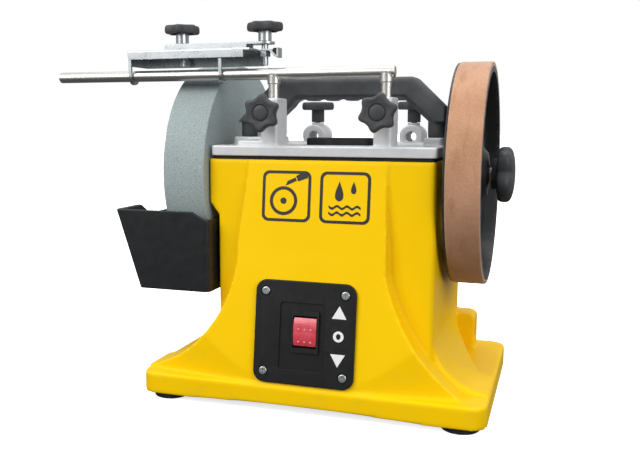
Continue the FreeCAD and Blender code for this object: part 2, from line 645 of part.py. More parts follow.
def make_motor_bells():
    bells = []
    for x0, x1, hub0, hub1 in ((MOTOR_X[0] - 6, MOTOR_X[0], MOTOR_X[0] - 12, MOTOR_X[0] + 3),
                               (MOTOR_X[1], MOTOR_X[1] + 6, MOTOR_X[1] - 3, MOTOR_X[1] + 12)):
        bell = fuse(rod_x(MOTOR_R - 1, x0, x1, 0, MOTOR_Z), rod_x(14, hub0, hub1, 0, MOTOR_Z))
        vents = []
        for k in range(8):
            hole = rod_x(5, x0 - 1, x1 + 1, 0, MOTOR_Z + 32)
            vents.append(turned(hole, vec(1, 0, 0), 22.5 + 45 * k, vec(0, 0, MOTOR_Z)))
        bells.append(cut(bell, rod_x(SHAFT_R + RUNNING, hub0 - 1, hub1 + 1, 0, MOTOR_Z), *vents))
    return Part.makeCompound(bells)


def make_motor_bracket():
    arms = []
    for x0 in (MOTOR_X[0] - 9.2, MOTOR_X[1] + 6.2):
        arm = prism_yz((-20, MOTOR_Z - 20), [(20, MOTOR_Z - 20), (PIVOT_Y + 8, PIVOT_Z - 8),
                                             ((PIVOT_Y + 2, PIVOT_Z + 8), (PIVOT_Y - 8, PIVOT_Z + 2)),
                                             (40, MOTOR_Z + 44), (-20, MOTOR_Z + 20)], x0, x0 + 3)
        arms.append(arm)
    tie = box(MOTOR_X[0] - 7, MOTOR_X[1] + 7, 57, 60, MOTOR_Z + 26, MOTOR_Z + 52)
    bracket = fuse(*arms, tie)
    return cut(bracket, rod_x(14.3, 0, 130, 0, MOTOR_Z), rod_x(PIVOT_R + RUNNING, 0, 130, PIVOT_Y, PIVOT_Z))


def make_motor_shaft():
    return fuse(rod_x(SHAFT_R, 4, 157, 0, MOTOR_Z), rod_x(4, 156, 171, 0, MOTOR_Z))


def make_motor_rotor():
    core = tube_x(28, SHAFT_R, 34, 96, 0, MOTOR_Z)
    rings = [tube_x(26, 14, x0, x0 + 6, 0, MOTOR_Z) for x0 in (28, 96)]
    return fuse(core, *rings)


def make_drive_roller():
    return tube_x(ROLLER_R, 4, 160.5, 170, 0, MOTOR_Z)


# --- arbor ---
def make_main_shaft():
    shaft = rod_x(SHAFT_R, -108, 203)
    collars = [rod_x(10, -46.9, -35), rod_x(10, 148, 158)]
    return fuse(shaft, *collars)


def make_grindstone():
    stone = rod_x(WHEEL_R, *STONE_X).cut(rod_x(SHAFT_R, STONE_X[0] - 1, STONE_X[1] + 1))
    rims = [e for e in stone.Edges if e.BoundBox.ZLength > WHEEL_R]
    return stone.makeFillet(0.8, rims)


def make_stone_flange_inner():
    return tube_x(26, SHAFT_R, STONE_X[1], STONE_X[1] + 3)


def make_stone_flange_outer():
    x0 = STONE_X[0] - 5
    return lathe_x((x0, SHAFT_R), [(x0, 16), (x0 + 2, 26), (x0 + 5, 26), (x0 + 5, SHAFT_R)])


def make_stone_nut():
    nut = polygon_z(6, 19, 0, 9, 0, 0)
    nut = turned(nut, vec(0, 1, 0), -90, vec(0, 0, 0))
    return moved(nut, STONE_X[0] - 5, 0, AXIS_Z).cut(rod_x(SHAFT_R, -120, -80))


def make_honing_drum():
    x0, x1 = HONING_X
    rim_r = WHEEL_R - 4
    back_dish = [(x0 + 1, 18), (x0 + 12.5, 24), (x0 + 12.5, DRIVE_RING_R + 4), (x0, DRIVE_RING_R + 4)]
    front_dish = [(x1, rim_r - 5), (x1 - 12, rim_r - 7), (x1 - 13, 30), (x1 - 3, 19)]
    rim = [(x0, rim_r + 3), (x0 + 1.5, rim_r + 3), (x0 + 1.5, rim_r), (x1, rim_r)]
    bore = [(x1 - 1, SHAFT_R), (x0 + 1, SHAFT_R)]
    drum = lathe_x((x0, rim_r), rim + front_dish + bore + back_dish)
    holes = []
    for k in range(6):
        hole = rod_x(11, x0 + 5, x1 - 5, 0, AXIS_Z + 58)
        holes.append(turned(hole, vec(1, 0, 0), 60 * k, vec(0, 0, AXIS_Z)))
    return cut(drum, *holes)


def make_friction_ring():
    return tube_x(DRIVE_RING_R + 4, DRIVE_RING_R, HONING_X[0] + 0.5, HONING_X[0] + 12.5)


def make_leather_band():
    return tube_x(WHEEL_R, WHEEL_R - 4, HONING_X[0] + 1.5, HONING_X[1])


def make_honing_knob():
    knob = lobed_knob(26, 15, 14, 5, SHAFT_R, lobes=5)
    return moved(turned(knob, vec(0, 1, 0), 90, vec(0, 0, 0)), HONING_X[1] + 1, 0, AXIS_Z)


# --- tool support and jig ---
def make_support_bar():
    bar = rod_x(ROD_R, *BAR_X, LEG_Y, BAR_Z)
    return bar.makeChamfer(0.8, [e for e in bar.Edges if e.BoundBox.XLength < 0.01])


def make_support_leg(x):
    leg = rod_z(ROD_R, LEG_BOTTOM, BAR_Z, x, LEG_Y)
    leg = leg.makeChamfer(0.8, [e for e in leg.Edges if abs(e.CenterOfMass.z - LEG_BOTTOM) < 0.01])
    collar = rod_z(ROD_R + 0.9, BAR_Z - 9, BAR_Z, x, LEG_Y)
    collar = collar.makeFillet(0.8, [e for e in collar.Edges if abs(e.CenterOfMass.z - BAR_Z + 9) < 0.01])
    return fuse(leg, collar).cut(rod_x(ROD_R, x - 20, x + 20, LEG_Y, BAR_Z))


def make_jig_channel():
    x0, x1 = JIG_X
    t = JIG_SHEET
    top = box(x0, x1, JIG_Y[0], JIG_Y[1], JIG_Z[1] - t, JIG_Z[1])
    lip = box(x0, x1 - 6, JIG_Y[0], JIG_Y[0] + t, JIG_Z[0], JIG_Z[1])
    back = box(x0, x1, JIG_Y[1] - t, JIG_Y[1], JIG_BACK_BOTTOM, JIG_Z[1])
    end = box(x0, x0 + t, LEG_Y - ROD_R - 0.3, JIG_Y[1], JIG_BACK_BOTTOM, JIG_Z[1])
    channel = fuse(top, lip, back, end)
    channel = channel.makeFillet(1.2, edges_along(channel, "x", lambda m: m.z > JIG_Z[1] - 0.1))
    corner = box(x0 - 1, x0 + 5, JIG_Y[0] - 1, JIG_Y[0] + t, JIG_Z[0] - 1, JIG_Z[0] + 4)
    corner = corner.cut(rod_y(4.0, JIG_Y[0] - 2, JIG_Y[0] + t + 1, x0 + 4, JIG_Z[0] + 4))
    channel = channel.cut(corner.common(box(x0 - 1, x0 + 4, -200, 200, JIG_Z[0] - 1, JIG_Z[0] + 4)))
    return channel.cut(rod_z(STUD_R + 0.3, 300, 330, JIG_KNOB_X[0], JIG_KNOB_Y))


def make_jig_hooks():
    hooks = []
    inner = ROD_R + 0.4
    outer = inner + 2.5
    for x in HOOK_X:
        x0, x1 = x - 1.5, x + 1.5
        ring = tube_x(outer, inner, x0, x1, LEG_Y, BAR_Z)
        mouth = box(x0 - 1, x1 + 1, LEG_Y, LEG_Y + 12, BAR_Z + 3, BAR_Z + 12)
        roof = box(x0 - 1, x1 + 1, LEG_Y - 12, LEG_Y + 0.1, BAR_Z, BAR_Z + 12)
        strap = box(x0, x1, LEG_Y - outer, LEG_Y - inner, BAR_Z, JIG_Z[1] - JIG_SHEET)
        hooks.append(fuse(cut(ring, mouth, roof), strap))
    return Part.makeCompound(hooks)


def make_jig_nuts():
    nuts = []
    for x in JIG_KNOB_X:
        top = JIG_Z[1] - (JIG_SHEET if x < JIG_X[1] else 1.5)
        nut = polygon_z(6, 9, top - 5, top, x, JIG_KNOB_Y)
        nuts.append(nut.cut(rod_z(STUD_R + RUNNING, 290, 330, x, JIG_KNOB_Y)))
    return Part.makeCompound(nuts)


def make_jig_stop_bracket():
    """Strip welded to the channel's end: the right stud passes it, then it folds down and up again."""
    x0 = JIG_X[1]
    z1 = JIG_Z[1]
    t = 1.5
    underside = [(x0 + 11, z1 - t), (x0 + 17.2, z1 - 7.5), (x0 + 19.8, z1 - 7.5)]
    upper_side = [(x0 + 19.8, z1 + 1), (x0 + 18.3, z1 + 1), (x0 + 18.3, z1 - 6), (x0 + 12, z1), (x0, z1)]
    strip = prism_xz((x0, z1 - t), underside + upper_side, JIG_KNOB_Y - 5.5, JIG_KNOB_Y + 5.5)
    return strip.cut(rod_z(STUD_R + 0.3, 300, 330, JIG_KNOB_X[1], JIG_KNOB_Y))


def make_jig_stop_pad():
    x0 = JIG_X[1]
    z1 = JIG_Z[1]
    return prism_xz((x0 + 18.3, z1 - 5.7),
                    [(x0 + 18.3, z1 + 0.7), (x0 + 15.2, z1 + 0.7), (x0 + 14, z1 - 1.6)],
                    JIG_KNOB_Y - 5, JIG_KNOB_Y + 5)


def make_jig_clamp_bar():
    left = -102.0
    lip_end = -21.0
    tip_x = JIG_KNOB_X[1]
    half = 9.0
    plate = prism_xy((left, JIG_KNOB_Y - half),
                     [(tip_x, JIG_KNOB_Y - half), ((tip_x + half, JIG_KNOB_Y), (tip_x, JIG_KNOB_Y + half)),
                      (left, JIG_KNOB_Y + half)], CLAMP_Z[1] - 2, CLAMP_Z[1])
    front = box(left, lip_end, JIG_KNOB_Y - half, JIG_KNOB_Y - half + 2, *CLAMP_Z)
    back = box(left, lip_end, JIG_KNOB_Y + half - 2, JIG_KNOB_Y + half, *CLAMP_Z)
    bar = fuse(plate, front, back)
    return cut(bar, *[rod_z(STUD_R + 0.3, 300, 340, x, JIG_KNOB_Y) for x in JIG_KNOB_X])


# --- trough ---
def trough_block(inset):
    floor = TROUGH_Z[0] + inset
    roof = TROUGH_Z[1] + (10 if inset else 0)
    grow = (TROUGH_X_BOTTOM - TROUGH_X_TOP) / (TROUGH_Z[1] - TROUGH_Z[0])
    left_top = TROUGH_X_BOTTOM - grow * (roof - TROUGH_Z[0]) + inset * 1.08
    block = prism_xz((TROUGH_X_BOTTOM + inset * 1.08 - grow * inset, floor),
                     [(TROUGH_X_RIGHT - inset, floor), (TROUGH_X_RIGHT - inset, roof), (left_top, roof)],
                     -TROUGH_Y + inset, TROUGH_Y - inset)
    return block.makeFillet(6.0 - inset * 0.8, edges_along(block, "z"))


def make_trough():
    grow = (TROUGH_X_BOTTOM - TROUGH_X_TOP) / (TROUGH_Z[1] - TROUGH_Z[0])
    rim_x = TROUGH_X_TOP + grow * RIM_H
    rim = prism_xz((TROUGH_X_TOP + 1, TROUGH_Z[1]),
                   [(TROUGH_X_TOP - RIM_OUT, TROUGH_Z[1]), (rim_x - RIM_OUT, TROUGH_Z[1] - RIM_H),
                    (rim_x + 1, TROUGH_Z[1] - RIM_H)], -TROUGH_Y + 5.0, TROUGH_Y - 5.0)
    shell = fuse(trough_block(0), rim).cut(trough_block(TROUGH_WALL))
    right_low = prism_xz((TROUGH_X_RIGHT - 18, TROUGH_Z[1] + 1),
                         [(TROUGH_X_RIGHT - 4, TROUGH_Z[1] - 7), (TROUGH_X_RIGHT + 5, TROUGH_Z[1] - 7),
                          (TROUGH_X_RIGHT + 5, TROUGH_Z[1] + 1)], -TROUGH_Y - 1, TROUGH_Y + 1)
    above = TROUGH_Z[1] + 1
    dip = prism_yz((-62, above), [(-50, above - 10), (50, above - 10), (62, above)],
                   TROUGH_X_TOP - 5, TROUGH_X_TOP + 20)
    slots = []
    for y in (-TROUGH_STUD_Y, TROUGH_STUD_Y):
        x0, x1 = TROUGH_X_RIGHT - TROUGH_WALL - 1, TROUGH_X_RIGHT + 1
        low = TROUGH_STUD_Z
        high = TROUGH_STUD_Z + TROUGH_DROP - 4
        slots.append(box(x0, x1, y - 3.3, y + 3.3, low, TROUGH_Z[1] + 1).fuse(rod_x(3.3, x0, x1, y, low)))
    return cut(shell, right_low, dip, *slots)


def build():
    parts = {
        "housing": make_housing(),
        "base_cover": make_base_cover(),
        "feet": make_feet(),
        "foot_screws": make_foot_screws(),
        "top_seal": make_top_seal(),
        "top_casting": make_top_casting(),
        "casting_screws": make_casting_screws(),
        "shaft_bushings": make_bushings(),
        "carry_handle": make_carry_handle(),
        "handle_screws": make_handle_screws(),
        "top_pad": make_top_pad(),
        "switch_plate": make_switch_plate(),
        "switch_plate_screws": make_switch_screws(),
        "switch_body": make_switch_body(),
        "rocker": make_rocker(),
        "cord_grommet": make_cord_grommet(),
        "trough_studs": make_trough_studs(),
        "capacitor": make_capacitor(),
        "terminal_block": make_terminal_block(),
        "motor_pivot_rod": rod_x(PIVOT_R, -2, 132, PIVOT_Y, PIVOT_Z),
        "motor_can": make_motor_can(),
        "motor_stator": make_motor_stator(),
        "motor_windings": make_motor_windings(),
        "motor_end_bells": make_motor_bells(),
        "motor_bracket": make_motor_bracket(),
        "motor_shaft": make_motor_shaft(),
        "motor_rotor": make_motor_rotor(),
        "drive_roller": make_drive_roller(),
        "main_shaft": make_main_shaft(),
        "grindstone": make_grindstone(),
        "stone_flange_inner": make_stone_flange_inner(),
        "stone_flange_outer": make_stone_flange_outer(),
        "stone_nut": make_stone_nut(),
        "honing_drum": make_honing_drum(),
        "friction_ring": make_friction_ring(),
        "leather_band": make_leather_band(),
        "honing_knob": make_honing_knob(),
        "support_bar": make_support_bar(),
        "support_leg_left": make_support_leg(LEG_X[0]),
        "support_leg_right": make_support_leg(LEG_X[1]),
        "jig_channel": make_jig_channel(),
        "jig_hooks": make_jig_hooks(),
        "jig_nuts": make_jig_nuts(),
        "jig_stop_bracket": make_jig_stop_bracket(),
        "jig_stop_pad": make_jig_stop_pad(),
        "jig_clamp_bar": make_jig_clamp_bar(),
        "trough": make_trough(),
    }
    knob = lobed_knob(KNOB_R, KNOB_T, KNOB_HUB_R, FRONT_HUB, STUD_R)
    tall_knob = lobed_knob(KNOB_R, KNOB_T, KNOB_HUB_R, REAR_HUB, STUD_R)
    jig_knob = lobed_knob(KNOB_R, KNOB_T, KNOB_HUB_R, JIG_HUB, STUD_R)
    for side, x, jig_x in zip(("left", "right"), LEG_X, JIG_KNOB_X):
        front_reach = -FRONT_FACE_Y + LEG_Y - ROD_R - 0.3
        parts["front_knob_" + side] = front_knob_place(knob, x)
        parts["front_stud_" + side] = front_knob_place(knob_stud(FRONT_HUB, KNOB_T, front_reach), x)
        rear_reach = REAR_HUB_Z - SOCKET_Z - ROD_R - 0.4
        parts["rear_knob_" + side] = rear_knob_place(tall_knob, x)
        parts["rear_stud_" + side] = rear_knob_place(knob_stud(REAR_HUB, KNOB_T, rear_reach), x)
        parts["jig_knob_" + side] = jig_knob_place(jig_knob, jig_x)
        parts["jig_stud_" + side] = jig_knob_place(knob_stud(JIG_HUB, KNOB_T, 21.0), jig_x)
    return parts


os.makedirs("parts", exist_ok=True)
low = [1e9] * 3
high = [-1e9] * 3
for node, shape in build().items():
    shape.translate(FOOTPRINT_SHIFT)
    bounds = shape.BoundBox
    low = [min(a, b) for a, b in zip(low, (bounds.XMin, bounds.YMin, bounds.ZMin))]
    high = [max(a, b) for a, b in zip(high, (bounds.XMax, bounds.YMax, bounds.ZMax))]
    if not shape.isValid():
        print("invalid:", node)
    shape.exportStep("parts/" + node + ".step")
print("low", [round(v, 2) for v in low], "high", [round(v, 2) for v in high])
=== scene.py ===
import json
import math

import bmesh
import bpy
from mathutils import Matrix, Vector, noise
from mathutils.bvhtree import BVHTree

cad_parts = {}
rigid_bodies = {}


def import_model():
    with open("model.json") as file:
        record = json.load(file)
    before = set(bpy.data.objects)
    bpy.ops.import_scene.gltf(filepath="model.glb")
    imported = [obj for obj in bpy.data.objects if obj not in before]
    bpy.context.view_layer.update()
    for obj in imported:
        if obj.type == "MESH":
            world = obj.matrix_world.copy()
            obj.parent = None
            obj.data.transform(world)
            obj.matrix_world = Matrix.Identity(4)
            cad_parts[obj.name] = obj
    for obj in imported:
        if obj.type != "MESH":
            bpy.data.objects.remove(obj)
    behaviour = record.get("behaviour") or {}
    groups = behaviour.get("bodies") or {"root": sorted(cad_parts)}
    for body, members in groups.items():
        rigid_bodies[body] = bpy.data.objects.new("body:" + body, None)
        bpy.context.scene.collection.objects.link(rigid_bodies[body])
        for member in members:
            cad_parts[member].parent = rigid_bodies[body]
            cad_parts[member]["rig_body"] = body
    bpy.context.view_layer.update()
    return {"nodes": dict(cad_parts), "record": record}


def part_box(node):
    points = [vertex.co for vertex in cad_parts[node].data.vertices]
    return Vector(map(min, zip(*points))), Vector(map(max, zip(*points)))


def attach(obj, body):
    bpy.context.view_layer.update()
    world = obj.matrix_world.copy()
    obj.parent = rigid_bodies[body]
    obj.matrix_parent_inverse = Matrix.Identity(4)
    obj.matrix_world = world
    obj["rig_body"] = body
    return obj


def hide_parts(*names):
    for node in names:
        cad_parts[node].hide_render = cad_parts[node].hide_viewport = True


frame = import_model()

MM = 0.001
RANGE_SOCKETS = ("From Min", "From Max", "To Min", "To Max")
# rise and run, in mm, of the housing's front below and above its crease
LOWER_FRONT = (116.0, 15.2)
UPPER_FRONT = (78.0, 8.5)
CLAMP_KNOB_R = 16.5
CLAMP_HEAD_T = 8.0
STAR_KNOB_R = 26.0
STAR_HUB_R = 14.0
STAR_HUB_LENGTH = 5.0
SLOT = {part["node"]: part["material_slot"] for part in frame["record"]["subparts"]}
BODY = {node: shown["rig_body"] for node, shown in frame["nodes"].items()}


def centre_of(node):
    low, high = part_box(node)
    return (low + high) / 2


# the arbor runs along X through this point
AXIS = centre_of("grindstone")


# ---------------------------------------------------------------- camera, light and floor
def make_camera():
    azimuth = math.radians(19.4)
    down = math.radians(7.4)
    level = math.cos(down)
    look = Vector((-math.sin(azimuth) * level, math.cos(azimuth) * level, -math.sin(down)))
    data = bpy.data.cameras.new("camera")
    data.sensor_width = 36.0
    data.lens = 46.07
    data.shift_x = 0.0703
    data.clip_start = 0.01
    camera = bpy.data.objects.new("camera", data)
    camera.location = Vector((0.2506, -0.7565, 0.2535))
    camera.rotation_euler = look.to_track_quat("-Z", "Y").to_euler()
    bpy.context.scene.collection.objects.link(camera)
    bpy.context.scene.camera = camera


def area_light(name, place, aim, size, power):
    data = bpy.data.lights.new(name, "AREA")
    data.shape = "RECTANGLE"
    data.size, data.size_y = size
    data.energy = power
    lamp = bpy.data.objects.new(name, data)
    lamp.location = place
    lamp.rotation_euler = (Vector(aim) - Vector(place)).to_track_quat("-Z", "Y").to_euler()
    bpy.context.scene.collection.objects.link(lamp)


def make_world():
    """A soft studio: light from above, little from below."""
    world = bpy.data.worlds.new("studio")
    world.use_nodes = True
    tree = world.node_tree
    background = tree.nodes["Background"]
    background.inputs["Color"].default_value = (1.0, 1.0, 1.0, 1.0)
    direction = tree.nodes.new("ShaderNodeTexCoord").outputs["Generated"]
    split = tree.nodes.new("ShaderNodeSeparateXYZ")
    rise = tree.nodes.new("ShaderNodeMapRange")
    for socket, number in zip(RANGE_SOCKETS, (-0.35, 0.9, 0.10, 1.05)):
        rise.inputs[socket].default_value = number
    tree.links.new(direction, split.inputs["Vector"])
    tree.links.new(split.outputs["Z"], rise.inputs["Value"])
    tree.links.new(rise.outputs["Result"], background.inputs["Strength"])
    bpy.context.scene.world = world


def make_light():
    make_world()
    area_light("key", (-0.75, -1.15, 0.95), (0.0, 0.0, 0.18), (0.9, 0.9), 14)
    area_light("fill", (1.3, -0.9, 0.7), (0.05, 0.0, 0.15), (1.0, 1.0), 10)
    area_light("top", (-0.1, 0.3, 1.5), (0.0, 0.0, 0.2), (1.2, 1.0), 8)
    bpy.context.scene.view_settings.view_transform = "Standard"
    bpy.context.scene.view_settings.look = "None"


def add_stage(name, mesh, material):
    piece = bpy.data.objects.new(name, mesh)
    mesh.materials.append(material)
    bpy.context.scene.collection.objects.link(piece)
    for ray in ("visible_diffuse", "visible_glossy", "visible_transmission", "visible_shadow"):
        setattr(piece, ray, False)


def make_floor():
    """A pale floor that brightens to plain white away from the machine, and a white surround."""
    f = Finish("pale_floor", (0.90, 0.90, 0.90), 0.7, Specular_IOR_Level=0.2)
    away = f.node("ShaderNodeVectorMath", operation="LENGTH")
    f.link(f.place, away.inputs[0])
    f.link(f.band(away.outputs["Value"], 0.12, 0.5, 0.72, 1.0), f.shader.inputs["Emission Strength"])
    f.shader.inputs["Emission Color"].default_value = (1.0, 1.0, 1.0, 1.0)
    f.tint(f.band(f.noise(300, 3), 0.4, 0.6, 0.0, 0.3), (0.88, 0.88, 0.88))
    reach = 14.0
    mesh = bpy.data.meshes.new("floor")
    corners = [(-reach, -reach, 0), (reach, -reach, 0), (reach, reach, 0), (-reach, reach, 0)]
    mesh.from_pydata(corners, [], [(0, 1, 2, 3)])
    add_stage("floor", mesh, f.material)
    white = Finish("white_surround", (0, 0, 0), 1.0, Emission_Color=(1, 1, 1, 1), Emission_Strength=1.0)
    shape = bmesh.new()
    bmesh.ops.create_uvsphere(shape, u_segments=48, v_segments=24, radius=reach)
    dome = bpy.data.meshes.new("surround")
    shape.to_mesh(dome)
    shape.free()
    add_stage("surround", dome, white.material)


# ---------------------------------------------------------------- materials
class Finish:
    """A Principled material on object coordinates, built up step by step."""

    def __init__(self, name, colour, roughness, metallic=0.0, **sockets):
        self.material = bpy.data.materials.new(name)
        self.material.use_nodes = True
        self.material.diffuse_color = (*colour, 1.0)
        self.tree = self.material.node_tree
        self.shader = self.tree.nodes["Principled BSDF"]
        self.shader.inputs["Base Color"].default_value = (*colour, 1.0)
        self.shader.inputs["Roughness"].default_value = roughness
        self.shader.inputs["Metallic"].default_value = metallic
        for socket, value in sockets.items():
            self.shader.inputs[socket.replace("_", " ")].default_value = value
        self.place = self.node("ShaderNodeTexCoord").outputs["Object"]
        self.base = colour
        self.colour = None
        self.normal = None

    def node(self, kind, **values):
        made = self.tree.nodes.new(kind)
        for key, value in values.items():
            if key in made.inputs.keys():
                made.inputs[key].default_value = value
            else:
                setattr(made, key, value)
        return made

    def link(self, out, into):
        self.tree.links.new(out, into)

    def noise(self, size_mm, detail=3.0, stretch=(1, 1, 1), roughness=0.55):
        """Noise from 0 to 1 whose features are about size_mm across."""
        mapping = self.node("ShaderNodeMapping")
        mapping.inputs["Scale"].default_value = stretch
        self.link(self.place, mapping.inputs["Vector"])
        made = self.node("ShaderNodeTexNoise", Scale=1000.0 / size_mm, Detail=detail, Roughness=roughness)
        self.link(mapping.outputs["Vector"], made.inputs["Vector"])
        return made.outputs["Fac"]

    def cells(self, size_mm, feature="F1"):
        made = self.node("ShaderNodeTexVoronoi", Scale=1000.0 / size_mm)
        made.feature = feature
        self.link(self.place, made.inputs["Vector"])
        return made.outputs["Distance"]

    def band(self, value, low, high, to_low=0.0, to_high=1.0):
        """Maps low..high of a value onto to_low..to_high, clamped."""
        made = self.node("ShaderNodeMapRange")
        for socket, number in zip(RANGE_SOCKETS, (low, high, to_low, to_high)):
            made.inputs[socket].default_value = number
        self.link(value, made.inputs["Value"])
        return made.outputs["Result"]

    def times(self, first, second):
        made = self.node("ShaderNodeMath", operation="MULTIPLY")
        for into, value in zip(made.inputs, (first, second)):
            if isinstance(value, (int, float)):
                into.default_value = value
            else:
                self.link(value, into)
        return made.outputs["Value"]

    def height_mm(self, low, high):
        """0 to 1 between two heights over the floor."""
        split = self.node("ShaderNodeSeparateXYZ")
        self.link(self.place, split.inputs["Vector"])
        return self.band(split.outputs["Z"], low * MM, high * MM)

    def tint(self, share, colour):
        """Mixes a colour over what is there, by a value."""
        mix = self.node("ShaderNodeMix", data_type="RGBA")
        factor, first, second = mix.inputs[0], mix.inputs[6], mix.inputs[7]
        second.default_value = (*colour, 1.0)
        if self.colour is None:
            first.default_value = (*self.base, 1.0)
        else:
            self.link(self.colour, first)
        self.link(share, factor)
        self.colour = mix.outputs[2]
        self.link(self.colour, self.shader.inputs["Base Color"])
        return self

    def rough(self, value, low, high):
        self.link(self.band(value, 0.3, 0.7, low, high), self.shader.inputs["Roughness"])
        return self

    def bump(self, value, height_mm):
        made = self.node("ShaderNodeBump", Strength=1.0, Distance=height_mm * MM)
        self.link(value, made.inputs["Height"])
        if self.normal is not None:
            self.link(self.normal, made.inputs["Normal"])
        self.normal = made.outputs["Normal"]
        self.link(self.normal, self.shader.inputs["Normal"])
        return self

    def edges(self, low=0.52, high=0.60):
        """1 along convex edges, 0 elsewhere."""
        return self.band(self.node("ShaderNodeNewGeometry").outputs["Pointiness"], low, high)

    # Dark in concave creases; the materials use it for painted shade.
    def crevices(self, low=0.49, high=0.42):
        return self.band(self.node("ShaderNodeNewGeometry").outputs["Pointiness"], low, high)


def yellow_plastic():
    f = Finish("yellow_moulding", (0.90, 0.555, 0.001), 0.38, Specular_IOR_Level=0.09)
    f.tint(f.band(f.noise(70, 4), 0.35, 0.7, 0.0, 0.35), (0.94, 0.61, 0.003))
    # Brighter yellow along convex edges, broken by noise: scuffs and a painted edge highlight.
    f.tint(f.times(f.edges(0.53, 0.62), f.band(f.noise(9, 5), 0.48, 0.62)), (0.98, 0.72, 0.12))
    # Darker, browner yellow in concave creases: painted shade.
    f.tint(f.times(f.crevices(), 0.4), (0.50, 0.29, 0.005))
    f.tint(f.times(f.height_mm(60, 8), f.band(f.noise(18, 6), 0.52, 0.72, 0.0, 0.35)), (0.66, 0.42, 0.03))
    f.rough(f.noise(26, 6), 0.30, 0.46)
    return f.bump(f.noise(1.6, 2), 0.025).bump(f.noise(24, 3), 0.16).material


def cast_alloy():
    f = Finish("silver_casting", (0.60, 0.605, 0.62), 0.45, 0.22)
    f.tint(f.band(f.noise(7, 5), 0.4, 0.65, 0.0, 0.4), (0.68, 0.685, 0.70))
    # Paler grey along convex edges, broken by noise: painted edge highlight.
    f.tint(f.times(f.edges(), f.band(f.noise(5, 4), 0.35, 0.6)), (0.80, 0.81, 0.83))
    # Dark grey in concave creases: painted shade.
    f.tint(f.times(f.crevices(), 0.55), (0.20, 0.20, 0.205))
    f.rough(f.noise(12, 5), 0.36, 0.58)
    return f.bump(f.noise(0.9, 3), 0.07).bump(f.noise(4.5, 3), 0.09).material


def black_moulding(name, shade, roughness, grain=0.7, depth=0.035, edge_wear_and_highlight=0.14):
    f = Finish(name, (shade * 0.95, shade, shade * 1.08), roughness, Specular_IOR_Level=0.3)
    f.tint(f.band(f.noise(14, 4), 0.45, 0.7, 0.0, 0.5), (shade * 1.5, shade * 1.55, shade * 1.65))
    # Lighter along convex edges, broken by noise: rub wear and a painted edge highlight.
    rubbed_and_highlit_edges = f.times(f.edges(0.53, 0.64), f.band(f.noise(4, 4), 0.4, 0.6, 0.0, 0.7))
    f.tint(rubbed_and_highlit_edges, (edge_wear_and_highlight, edge_wear_and_highlight, edge_wear_and_highlight * 1.05))
    f.rough(f.noise(9, 5), roughness - 0.07, roughness + 0.12)
    return f.bump(f.cells(grain), depth).bump(f.noise(18, 3), 0.05).material


def rubber():
    f = Finish("black_rubber", (0.014, 0.014, 0.015), 0.72, Specular_IOR_Level=0.3)
    f.tint(f.band(f.noise(6, 4), 0.5, 0.75, 0.0, 0.5), (0.05, 0.048, 0.046))
    return f.bump(f.noise(0.8, 3), 0.04).material


def stone_grit():
    f = Finish("grindstone_grit", (0.315, 0.375, 0.372), 0.88, Specular_IOR_Level=0.3)
    f.tint(f.band(f.noise(38, 4), 0.35, 0.7, 0.0, 0.5), (0.265, 0.315, 0.315))
    f.tint(f.band(f.noise(0.8, 2), 0.55, 0.72, 0.0, 0.8), (0.50, 0.56, 0.55))
    f.tint(f.band(f.noise(1.0, 3), 0.44, 0.33, 0.0, 0.7), (0.14, 0.175, 0.175))
    f.tint(f.band(f.cells(3.1), 0.10, 0.05, 0.0, 0.6), (0.10, 0.13, 0.13))
    # Paler grey along convex edges: painted edge highlight.
    f.tint(f.times(f.edges(0.52, 0.6), 0.5), (0.52, 0.56, 0.55))
    f.rough(f.noise(30, 4), 0.78, 0.95)
    return f.bump(f.noise(0.8, 4), 0.22).bump(f.cells(2.4), 0.06).material


def suede():
    f = Finish("honing_leather", (0.50, 0.27, 0.155), 0.86, Sheen_Weight=0.3, Sheen_Roughness=0.4)
    f.tint(f.band(f.noise(30, 5), 0.35, 0.7, 0.0, 0.8), (0.38, 0.185, 0.10))
    f.tint(f.band(f.noise(1.0, 4), 0.50, 0.70, 0.0, 0.45), (0.62, 0.38, 0.24))
    f.tint(f.band(f.noise(0.9, 4), 0.46, 0.33, 0.0, 0.45), (0.26, 0.115, 0.06))
    f.tint(f.band(f.noise(6.0, 5, (1, 0.3, 0.3)), 0.54, 0.72, 0.0, 0.45), (0.30, 0.13, 0.07))
    # Darker brown towards the bottom of the band: painted shade, where less light falls.
    f.tint(f.times(f.height_mm(200, 105), 0.6), (0.16, 0.075, 0.045))
    f.tint(f.times(f.edges(0.52, 0.6), 0.8), (0.74, 0.55, 0.40))
    return f.bump(f.noise(0.8, 5), 0.30).bump(f.noise(5, 4), 0.18).material


def bright_rod():
    f = Finish("bright_rod", (0.61, 0.60, 0.57), 0.32, 1.0)
    f.tint(f.band(f.noise(40, 5, (0.15, 1, 1)), 0.5, 0.75, 0.0, 0.35), (0.56, 0.53, 0.48))
    f.rough(f.noise(3, 5, (0.05, 1, 1)), 0.26, 0.40)
    return f.bump(f.noise(0.9, 3, (0.04, 1, 1)), 0.006).material


def zinc(name, size_mm=11):
    f = Finish(name, (0.47, 0.495, 0.51), 0.30, 1.0)
    f.tint(f.band(f.noise(size_mm, 3), 0.42, 0.70, 0.0, 0.3), (0.37, 0.395, 0.415))
    f.tint(f.band(f.noise(size_mm / 2, 2), 0.62, 0.80, 0.0, 0.2), (0.60, 0.59, 0.53))
    f.rough(f.noise(9, 3), 0.24, 0.34)
    return f.bump(f.noise(1.2, 3, (0.2, 1, 1)), 0.008).material


